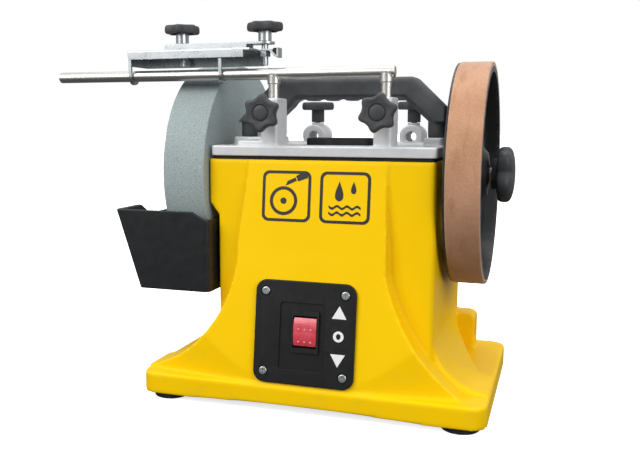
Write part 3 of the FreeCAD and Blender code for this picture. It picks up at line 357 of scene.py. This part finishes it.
def ground_steel():
    f = Finish("ground_steel", (0.60, 0.60, 0.61), 0.24, 1.0)
    f.tint(f.band(f.noise(8, 5), 0.5, 0.7, 0.0, 0.5), (0.42, 0.42, 0.43))
    f.rough(f.noise(2, 4, (6, 1, 1)), 0.18, 0.38)
    return f.bump(f.noise(0.5, 2, (6, 0.3, 0.3)), 0.006).material


def red_rocker():
    f = Finish("red_rocker", (0.56, 0.040, 0.062), 0.28, Coat_Weight=0.4, Coat_Roughness=0.12)
    f.tint(f.band(f.noise(7, 3), 0.4, 0.7, 0.0, 0.6), (0.68, 0.10, 0.13))
    return f.bump(f.noise(1.1, 2), 0.015).material


def print_ink(name, colour, scuffed):
    f = Finish(name, colour, 0.45)
    f.tint(f.band(f.noise(2.2, 4), 0.60, 0.72, 0.0, 0.6), scuffed)
    return f.bump(f.noise(0.8, 2), 0.01).material


def painted(name, colour, roughness=0.45, metallic=0.0):
    f = Finish(name, colour, roughness, metallic)
    f.tint(f.band(f.noise(10, 4), 0.4, 0.7, 0.0, 0.45), tuple(min(1.0, c * 1.4) for c in colour))
    f.rough(f.noise(7, 4), roughness - 0.1, roughness + 0.12)
    return f.bump(f.noise(1.0, 3), 0.03).material


def wound_copper():
    f = Finish("varnished_winding", (0.42, 0.13, 0.04), 0.35, 0.6)
    f.tint(f.band(f.noise(4, 4), 0.45, 0.7, 0.0, 0.6), (0.25, 0.07, 0.02))
    return f.bump(f.noise(1.2, 1, (1, 0.1, 0.1)), 0.35).material


# ---------------------------------------------------------------- mesh helpers
def new_piece(name, mesh, material):
    piece = bpy.data.objects.new(name, mesh)
    bpy.context.scene.collection.objects.link(piece)
    mesh.materials.clear()
    mesh.materials.append(material)
    return piece


def shade_smooth(piece, degrees=35.0):
    piece.data.polygons.foreach_set("use_smooth", [True] * len(piece.data.polygons))
    if degrees:
        piece.data.set_sharp_from_angle(angle=math.radians(degrees))
    piece.data.update()


def place_on(piece, body, slot, *stands_for):
    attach(piece, body)
    if stands_for:
        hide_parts(*stands_for)
    return piece


def bake_modifiers(piece):
    bpy.context.view_layer.update()
    graph = bpy.context.evaluated_depsgraph_get()
    mesh = bpy.data.meshes.new_from_object(piece.evaluated_get(graph))
    piece.modifiers.clear()
    old = piece.data
    piece.data = mesh
    bpy.data.meshes.remove(old)


def welded_copy(node, name, material):
    """A CAD node's mesh with its points joined, and flat areas made of single faces."""
    mesh = frame["nodes"][node].data.copy()
    shape = bmesh.new()
    shape.from_mesh(mesh)
    bmesh.ops.remove_doubles(shape, verts=shape.verts, dist=0.004 * MM)
    bmesh.ops.dissolve_limit(shape, angle_limit=math.radians(0.6), verts=shape.verts, edges=shape.edges)
    shape.to_mesh(mesh)
    shape.free()
    return new_piece(name, mesh, material)


def eased(node, material, width, segments=2):
    """The node with its sharp edges broken by a small bevel, and its flat faces shaded flat."""
    piece = welded_copy(node, node + "_eased", material)
    shade_smooth(piece, None)
    bevel = piece.modifiers.new("bevel", "BEVEL")
    bevel.width = width * MM
    bevel.segments = segments
    bevel.limit_method = "ANGLE"
    bevel.angle_limit = math.radians(40)
    bevel.miter_outer = "MITER_ARC"
    weigh = piece.modifiers.new("weigh", "WEIGHTED_NORMAL")
    weigh.weight = 100
    bake_modifiers(piece)
    return place_on(piece, BODY[node], SLOT[node], node)


def softened(node, material, voxel, passes):
    """The node as a moulding or casting, with rounded edges and corners."""
    piece = welded_copy(node, node + "_moulded", material)
    remesh = piece.modifiers.new("remesh", "REMESH")
    remesh.mode = "VOXEL"
    remesh.voxel_size = voxel * MM
    relax = piece.modifiers.new("relax", "SMOOTH")
    relax.factor = 0.5
    relax.iterations = passes
    bake_modifiers(piece)
    shade_smooth(piece, None)
    return place_on(piece, BODY[node], SLOT[node], node)


def skinned(name, rings, closed_loop=False):
    """A mesh over rings of equally many points, its two ends closed by fans."""
    count = len(rings[0])
    points = [point for ring in rings for point in ring]
    faces = []
    for r in range(len(rings) - (0 if closed_loop else 1)):
        here, there = r * count, (r + 1) % len(rings) * count
        for k in range(count):
            n = (k + 1) % count
            faces.append((here + k, here + n, there + n, there + k))
    if not closed_loop:
        for start in (0, (len(rings) - 1) * count):
            hub = len(points)
            points.append(sum(points[start:start + count], Vector()) / count)
            faces += [(start + k, start + (k + 1) % count, hub) for k in range(count)]
    mesh = bpy.data.meshes.new(name)
    mesh.from_pydata(points, [], faces)
    shape = bmesh.new()
    shape.from_mesh(mesh)
    bmesh.ops.recalc_face_normals(shape, faces=shape.faces)
    shape.to_mesh(mesh)
    shape.free()
    return mesh


def axis_frame(origin, axis, zero):
    """Local to row frame: +Z along axis, +X along zero."""
    z = Vector(axis).normalized()
    x = Vector(zero).normalized()
    y = z.cross(x)
    turn = Matrix((x, y, z)).transposed().to_4x4()
    return Matrix.Translation(origin) @ turn


def turned_mesh(name, profile, place, count, shift=None, closed_loop=False):
    """A lathed shape about local Z.

    Profile points are (radius, z) in mm, and shift moves a point by (dr, dz).
    """
    rings = []
    for radius, z in profile:
        ring = []
        for k in range(count):
            angle = 2 * math.pi * k / count
            dr, dz = shift(radius, z, angle) if shift else (0.0, 0.0)
            r = (radius + dr) * MM
            ring.append(place @ Vector((r * math.cos(angle), r * math.sin(angle), (z + dz) * MM)))
        rings.append(ring)
    return skinned(name, rings, closed_loop)


def steps(low, high, count):
    return [low + (high - low) * k / (count - 1) for k in range(count)]


# ---------------------------------------------------------------- clamp knobs
def lobe_radius(angle, radius, lobes, depth, phase, sharpness):
    wave = (1 + math.cos(lobes * (angle - phase))) / 2
    return radius * (1 - depth * (1 - wave ** sharpness))


def clamp_section(hub, low, thick):
    """Clamp knob: hub, hollow underside, rounded rim, and a slightly domed centre disc in a ring groove.

    A point is (share of the radius, height in mm, how much of the lobes shows there).
    """
    top = low + thick
    return [
        (hub * 0.95, 0.0, 0), (hub, 0.4, 0), (hub, low + thick * 0.28, 0),
        (0.66, low + thick * 0.33, 0.5), (0.74, low + thick * 0.24, 0.9), (0.77, low + 0.6, 1),
        (0.80, low + 0.1, 1), (0.89, low, 1), (0.95, low + 0.5, 1), (0.985, low + 1.3, 1),
        (1.0, low + thick * 0.3, 1), (1.0, low + thick * 0.55, 1), (0.99, low + thick * 0.72, 1),
        (0.965, low + thick * 0.85, 1), (0.925, low + thick * 0.94, 1), (0.87, low + thick * 0.985, 1),
        (0.80, top, 0.95), (0.70, top - 0.15, 0.8), (0.58, top - 0.45, 0.45), (0.50, top - 0.6, 0.15),
        (0.455, top - 0.6, 0), (0.44, top - 0.8, 0), (0.435, top - 1.5, 0), (0.405, top - 1.6, 0),
        (0.395, top - 0.9, 0), (0.38, top - 0.6, 0), (0.30, top - 0.25, 0), (0.15, top - 0.05, 0),
    ]


def star_section(hub, low, thick):
    """Star knob: hub, full rounded rim, and a face that rises from the rim to its middle."""
    top = low + thick
    return [
        (hub * 0.97, 0.0, 0), (hub, 0.5, 0), (hub, low - 0.6, 0), (0.68, low + 0.3, 0.6), (0.80, low, 1),
        (0.90, low + 0.2, 1), (0.96, low + 1.1, 1), (0.99, low + 2.6, 1), (1.0, low + thick * 0.32, 1),
        (1.0, low + thick * 0.48, 1), (0.985, low + thick * 0.60, 1), (0.95, low + thick * 0.69, 1),
        (0.90, low + thick * 0.76, 1), (0.83, low + thick * 0.82, 0.95), (0.74, low + thick * 0.87, 0.8),
        (0.63, low + thick * 0.915, 0.6), (0.51, low + thick * 0.95, 0.35),
        (0.39, low + thick * 0.975, 0.12), (0.27, top - 0.15, 0), (0.13, top - 0.03, 0),
    ]


def lobed_head(name, place, radius, section, lobes, depth, phase, sharpness):
    """Moulded knob over a section, its rim drawn in between the lobes."""
    count = 24 * lobes
    rings = []
    for share, z, lobed in section:
        ring = []
        for k in range(count):
            angle = 2 * math.pi * k / count
            outline = lobe_radius(angle, radius, lobes, depth * lobed, phase, sharpness)
            r = share * outline * MM
            ring.append(place @ Vector((r * math.cos(angle), r * math.sin(angle), z * MM)))
        rings.append(ring)
    return skinned(name, rings)


def clamp_head(node, place, length, hub_r, degrees, material):
    section = clamp_section(hub_r / CLAMP_KNOB_R, length - CLAMP_HEAD_T, CLAMP_HEAD_T)
    mesh = lobed_head(node + "_head", place, CLAMP_KNOB_R, section, 6, 0.20, math.radians(degrees), 1.4)
    add_head(node, mesh, material)


def make_clamp_knobs(grip, metal):
    for side, turn, jig_turn in (("left", 25, 40), ("right", 18, 8)):
        front, rear, jig = (name + side for name in ("front_knob_", "rear_knob_", "jig_knob_"))
        low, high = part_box(front)
        middle = (low + high) / 2
        place = axis_frame((middle.x, high.y, middle.z), (0, -1, 0), (1, 0, 0))
        clamp_head(front, place, (high.y - low.y) / MM, 6.5, turn, grip)
        for node, hub_r, degrees in ((rear, 6.5, 12), (jig, 5.5, jig_turn)):
            low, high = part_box(node)
            middle = (low + high) / 2
            place = axis_frame((middle.x, middle.y, low.z), (0, 0, 1), (1, 0, 0))
            length = (high.z - low.z) / MM
            clamp_head(node, place, length, hub_r, degrees, grip)
        sleeve = [(5.2, 0.1), (6.0, 0.3), (6.0, length - 5.8), (5.2, length - 5.4)]
        piece = new_piece(jig + "_sleeve", turned_mesh(jig + "_sleeve", sleeve, place, 48), metal)
        shade_smooth(piece)
        place_on(piece, BODY[jig], "zinc_screw")


def add_head(node, mesh, material):
    piece = new_piece(node + "_head", mesh, material)
    shade_smooth(piece, 50)
    place_on(piece, BODY[node], SLOT[node], node)


def make_star_knob(grip):
    low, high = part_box("honing_knob")
    place = axis_frame((low.x, AXIS.y, AXIS.z), (1, 0, 0), (0, 0, 1))
    thick = (high.x - low.x) / MM - STAR_HUB_LENGTH
    section = star_section(STAR_HUB_R / STAR_KNOB_R, STAR_HUB_LENGTH, thick)
    mesh = lobed_head("honing_knob_head", place, STAR_KNOB_R, section, 5, 0.24, math.radians(46), 0.62)
    add_head("honing_knob", mesh, grip)


# ---------------------------------------------------------------- wheels
def make_grindstone(grit):
    """Stone with a faintly uneven rim and small chips out of its two edges."""
    low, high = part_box("grindstone")
    width = (high.x - low.x) / MM
    radius = (high.z - low.z) / 2 / MM
    place = axis_frame((low.x, AXIS.y, AXIS.z), (1, 0, 0), (0, 0, 1))
    bore = 6.2
    face = steps(radius - 1.6, bore, 26)
    corner = [(radius - 1.0, 0.03), (radius - 0.5, 0.15), (radius - 0.18, 0.45), (radius - 0.05, 0.9)]
    rim = [(radius - 0.03, z) for z in steps(1.6, width - 1.6, 28)]
    profile = [(r, 0.0) for r in reversed(face)] + corner + rim
    profile += [(r, width - z) for r, z in reversed(corner)] + [(r, width) for r in face]

    def shift(r, z, angle):
        here = Vector((math.cos(angle), math.sin(angle), 0)) * r + Vector((0, 0, z))
        from_edge = math.hypot(radius - r, min(z, width - z))
        chip = max(0.0, noise.noise(here * 0.35) + 0.6 * noise.noise(here * 0.9) - 0.35)
        bite = chip * 1.6 * max(0.0, 1 - from_edge / 2.6)
        swell = 0.04 * noise.noise(here * 0.12) - 0.04
        inward = 1 if z < width / 2 else -1
        on_rim = r > radius - 1.5
        return (swell - bite if on_rim else 0.0), inward * (bite * 0.7 + (0.0 if on_rim else -swell))

    mesh = turned_mesh("grindstone_wheel", profile, place, 480, shift, closed_loop=True)
    piece = new_piece("grindstone_wheel", mesh, grit)
    shade_smooth(piece, 50)
    place_on(piece, BODY["grindstone"], SLOT["grindstone"], "grindstone")


def make_leather(leather):
    """Leather strip glued round the drum, nap side out, with fuzzy edges and a slanting glued joint."""
    low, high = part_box("leather_band")
    width = (high.x - low.x) / MM
    radius = (high.z - low.z) / 2 / MM
    place = axis_frame((low.x, AXIS.y, AXIS.z), (1, 0, 0), (0, 0, 1))
    thick = 3.9
    outer = [(radius - 0.12, z) for z in steps(0.9, width - 0.9, 24)]
    left = [(radius - thick, 0.05), (radius - 2.4, 0.0), (radius - 1.2, 0.0)]
    left += [(radius - 0.6, 0.12), (radius - 0.25, 0.4)]
    right = [(r, width - z) for r, z in reversed(left)]
    joint = math.radians(205)

    def shift(r, z, angle):
        if r < radius - 2.0:
            return 0.0, 0.0
        here = Vector((math.cos(angle), math.sin(angle), 0)) * radius + Vector((0, 0, z))
        edge = max(0.0, 1 - min(z, width - z) / 1.6)
        fuzz = noise.noise(here * 1.1) * 0.10 + noise.noise(here * 0.28) * 0.10 - 0.2
        seam = abs((angle - joint) * radius + (z - width / 2) * 0.6)
        groove = -0.7 * max(0.0, 1 - seam / 1.4)
        fray = edge * (noise.noise(here * 0.8) * 0.35 - 0.35)
        inward = 1 if z < width / 2 else -1
        return fuzz * 0.5 + groove + fray, inward * edge * abs(noise.noise(here * 0.9)) * 0.45

    mesh = turned_mesh("leather_strip", left + outer + right, place, 540, shift, closed_loop=True)
    piece = new_piece("leather_strip", mesh, leather)
    shade_smooth(piece, 60)
    place_on(piece, BODY["leather_band"], SLOT["leather_band"], "leather_band")


# ---------------------------------------------------------------- tool support
def make_weld_beads(rod):
    """Rippled weld bead where each leg meets the bar."""
    bar = centre_of("support_bar")
    bar_r = (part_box("support_bar")[1].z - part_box("support_bar")[0].z) / 2
    for side in ("left", "right"):
        leg = centre_of("support_leg_" + side)
        ring_r = 5.6 * MM
        rings = []
        for k in range(96):
            angle = 2 * math.pi * k / 96
            out = Vector((math.cos(angle), math.sin(angle), 0))
            across = ring_r * out.y
            drop = math.sqrt(max(0.0, bar_r ** 2 - across ** 2))
            centre = Vector((leg.x, bar.y, bar.z - drop)) + out * ring_r
            swell = 0.85 + 0.22 * math.sin(angle * 22) + 0.15 * noise.noise(out * 4 + leg * 50)
            ring = []
            for j in range(10):
                turn = 2 * math.pi * j / 10
                spoke = out * math.cos(turn) + Vector((0, 0, 1)) * math.sin(turn)
                ring.append(centre + spoke * swell * MM)
            rings.append(ring)
        piece = new_piece("weld_bead_" + side, skinned("weld_bead_" + side, rings, closed_loop=True), rod)
        shade_smooth(piece, 60)
        place_on(piece, "support", "bright_rod")


# ---------------------------------------------------------------- prints
def circle(u, v, r, count=64):
    turns = [2 * math.pi * k / count for k in range(count)]
    return [(u + r * math.cos(turn), v + r * math.sin(turn)) for turn in turns]


def rounded_square(u, v, half, corner):
    points = []
    for k, (su, sv) in enumerate(((1, 1), (-1, 1), (-1, -1), (1, -1))):
        for j in range(9):
            angle = math.pi / 2 * (k + j / 8)
            points.append((u + su * (half - corner) + corner * math.cos(angle),
                           v + sv * (half - corner) + corner * math.sin(angle)))
    return points


def between(outer, inner):
    """The cells of a closed band between two outlines with equally many points."""
    count = len(outer)
    return [[outer[k], outer[(k + 1) % count], inner[(k + 1) % count], inner[k]] for k in range(count)]


def slanted(points, degrees, u, v):
    c, s = math.cos(math.radians(degrees)), math.sin(math.radians(degrees))
    return [(u + x * c - y * s, v + x * s + y * c) for x, y in points]


def drop_outline(u, v, size):
    """A water drop: a round bottom drawn up to a point."""
    points = []
    for k in range(48):
        angle = 2 * math.pi * k / 48
        pinch = math.sin(angle / 2) ** 1.6
        points.append((u + size * 0.62 * math.sin(angle) * pinch, v + size * math.cos(angle)))
    return points


def surface_of(piece):
    mesh = piece.data
    return BVHTree.FromPolygons([v.co for v in mesh.vertices], [p.vertices for p in mesh.polygons])


def front_of(surface, x, z):
    """The surface's first point seen from -Y at (x, z)."""
    return surface.ray_cast(Vector((x, -1.0, z)), Vector((0, 1, 0)))[0]


def printed(name, cells, origin, up, out, material, body, slot, surface=None, depth=0.14):
    """Thin raised print.

    The cells are outlines in mm on the plane through origin, pressed onto a surface where one is given.
    """
    across = Vector((1, 0, 0))
    shape = bmesh.new()
    for cell in cells:
        corners = [shape.verts.new(origin + (across * u + up * v - out * 0.05) * MM) for u, v in cell]
        shape.faces.new(corners)
    bmesh.ops.remove_doubles(shape, verts=shape.verts, dist=1e-7)
    raised = bmesh.ops.extrude_face_region(shape, geom=shape.faces[:])
    moved = [item for item in raised["geom"] if isinstance(item, bmesh.types.BMVert)]
    bmesh.ops.translate(shape, verts=moved, vec=out * (depth + 0.05) * MM)
    if surface:
        for vert in shape.verts:
            vert.co.y += front_of(surface, vert.co.x, vert.co.z).y - origin.y
            vert.co.y -= (vert.co.z - origin.z) * up.y / up.z
    bmesh.ops.recalc_face_normals(shape, faces=shape.faces)
    mesh = bpy.data.meshes.new(name)
    shape.to_mesh(mesh)
    shape.free()
    piece = new_piece(name, mesh, material)
    shade_smooth(piece, 30)
    return place_on(piece, body, slot)


def leaning(rise, run):
    """(up, out) of a front surface that falls back by run over rise."""
    up = Vector((0, run, rise)).normalized()
    return up, Vector((0, -up.z, up.y))


def make_switch_marks(white):
    """Direction marks of a reversing switch: up, off, down."""
    low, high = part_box("switch_plate")
    up, out = leaning(*LOWER_FRONT)
    origin = (low + high) / 2 + out * 1.5 * MM
    turns = steps(0, 2 * math.pi, 65)[:-1]
    oval = [(30.6 + 2.0 * math.cos(turn), 0.1 + 2.5 * math.sin(turn)) for turn in turns]
    marks = {
        "mark_forward": [[(24.3, 15.0), (37.1, 15.0), (30.7, 26.0)]],
        "mark_off": between(circle(30.6, 0.1, 4.6), oval),
        "mark_reverse": [[(24.2, -14.9), (30.6, -25.7), (37.0, -14.9)]],
    }
    for name, cells in marks.items():
        printed(name, cells, origin, up, out, white, "base", "switch_black")


def make_panel_sign(ink, housing):
    """Two plain picture tiles: a wheel with a chisel held to it, and water."""
    surface = surface_of(housing)
    up, out = leaning(*UPPER_FRONT)
    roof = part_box("housing")[1].z
    origin = front_of(surface, centre_of("housing").x + 5.0 * MM, roof - 31.0 * MM)
    tiles = []
    for u in (-26.0, 26.0):
        tiles += between(rounded_square(u, 0, 22.0, 6.0), rounded_square(u, 0, 19.4, 4.0))
    wheel = between(circle(-28.5, -4.0, 12.5), circle(-28.5, -4.0, 9.6)) + [circle(-28.5, -4.0, 2.8, 32)]
    blade = [slanted([(0, 0), (11, 0), (11, 3.2), (3.4, 3.2)], 24, -27.0, 8.9)]
    grip = [(11.8, -1.0), (21.0, -1.6), (22.4, 1.6), (21.0, 4.8), (11.8, 4.2)]
    handle = [slanted(grip, 24, -27.0, 8.9)]
    drops = [drop_outline(21.0, 5.6, 8.6), drop_outline(33.4, 8.8, 5.4)]
    waves = []
    for v in (-8.2, -13.6):
        line = [(26.0 + x, v + 1.1 * math.sin(x * 0.72)) for x in steps(-14.0, 14.0, 57)]
        for a, b in zip(line, line[1:]):
            waves.append([(a[0], a[1] - 1.1), (b[0], b[1] - 1.1), (b[0], b[1] + 1.1), (a[0], a[1] + 1.1)])
    cells = tiles + wheel + blade + handle + drops + waves
    printed("panel_sign", cells, origin, up, out, ink, "base", "rubber_black", surface)


def make_rocker_dots(ink, rocker):
    """Two rows of raised grip dots on the rocker."""
    surface = surface_of(rocker)
    middle = centre_of("rocker")
    out = leaning(*LOWER_FRONT)[1]
    profile = [(0.95, -0.6), (0.95, 0.0), (0.85, 0.3), (0.6, 0.45), (0.3, 0.5)]
    for row, v in (("upper", 2.4), ("lower", -8.3)):
        for k in (-1, 0, 1):
            centre = front_of(surface, middle.x + k * 5.4 * MM, middle.z + v * MM)
            name = f"rocker_dot_{row}_{k + 2}"
            mesh = turned_mesh(name, profile, axis_frame(centre, out, (1, 0, 0)), 20)
            piece = new_piece(name, mesh, ink)
            shade_smooth(piece, 60)
            place_on(piece, "rocker", "rocker_red")


# ---------------------------------------------------------------- everything
def make_materials():
    silver = cast_alloy()
    return {
        "yellow_shell": yellow_plastic(),
        "steel_sheet": painted("cover_paint", (0.03, 0.03, 0.032)),
        "rubber_black": rubber(),
        "zinc_screw": zinc("zinc_screw", 4),
        "casting": silver,
        "black_plastic": black_moulding("grip_moulding", 0.048, 0.46),
        "drum_plastic": black_moulding("drum_moulding", 0.016, 0.34),
        "handle_plastic": black_moulding("handle_moulding", 0.072, 0.52),
        "switch_black": black_moulding("switch_moulding", 0.006, 0.45, 0.5, 0.015, 0.05),
        "rocker_red": red_rocker(),
        "bronze": painted("sintered_bronze", (0.48, 0.29, 0.10), 0.4, 0.8),
        "motor_steel": painted("motor_paint", (0.06, 0.07, 0.08)),
        "lamination": painted("lamination", (0.18, 0.18, 0.19), 0.5, 0.6),
        "copper_winding": wound_copper(),
        "alloy_cast": silver,
        "ground_steel": ground_steel(),
        "bright_rod": bright_rod(),
        "zinc_sheet": zinc("zinc_plate"),
        "stone": stone_grit(),
        "leather": suede(),
        "trough_black": black_moulding("trough_moulding", 0.013, 0.36, 0.9, 0.02, 0.08),
        "terminal_white": painted("terminal_nylon", (0.62, 0.62, 0.60)),
        "capacitor_grey": painted("capacitor_can", (0.34, 0.34, 0.35)),
    }


def main():
    looks = make_materials()
    make_camera()
    make_light()
    make_floor()
    for node, slot in SLOT.items():
        shown = frame["nodes"][node].data
        shown.materials.clear()
        shown.materials.append(looks["drum_plastic" if node == "honing_drum" else slot])
    housing = softened("housing", looks["yellow_shell"], 1.5, 2)
    softened("top_casting", looks["casting"], 0.9, 2)
    softened("carry_handle", looks["handle_plastic"], 0.8, 2)
    softened("trough", looks["trough_black"], 0.8, 3)
    for node in ("jig_channel", "jig_hooks", "jig_clamp_bar", "jig_stop_bracket"):
        eased(node, looks["zinc_sheet"], 0.25)
    for node in ("switch_body", "switch_plate"):
        eased(node, looks["switch_black"], 0.3)
    rocker = eased("rocker", looks["rocker_red"], 0.6, 3)
    eased("top_pad", looks["rubber_black"], 0.4)
    make_clamp_knobs(looks["black_plastic"], looks["zinc_screw"])
    make_star_knob(looks["black_plastic"])
    make_grindstone(looks["stone"])
    make_leather(looks["leather"])
    make_weld_beads(looks["bright_rod"])
    make_switch_marks(print_ink("white_print", (0.80, 0.80, 0.79), (0.40, 0.40, 0.40)))
    make_panel_sign(print_ink("black_print", (0.014, 0.012, 0.010), (0.06, 0.045, 0.01)), housing)
    make_rocker_dots(print_ink("dot_print", (0.70, 0.25, 0.28), (0.58, 0.10, 0.13)), rocker)


main()
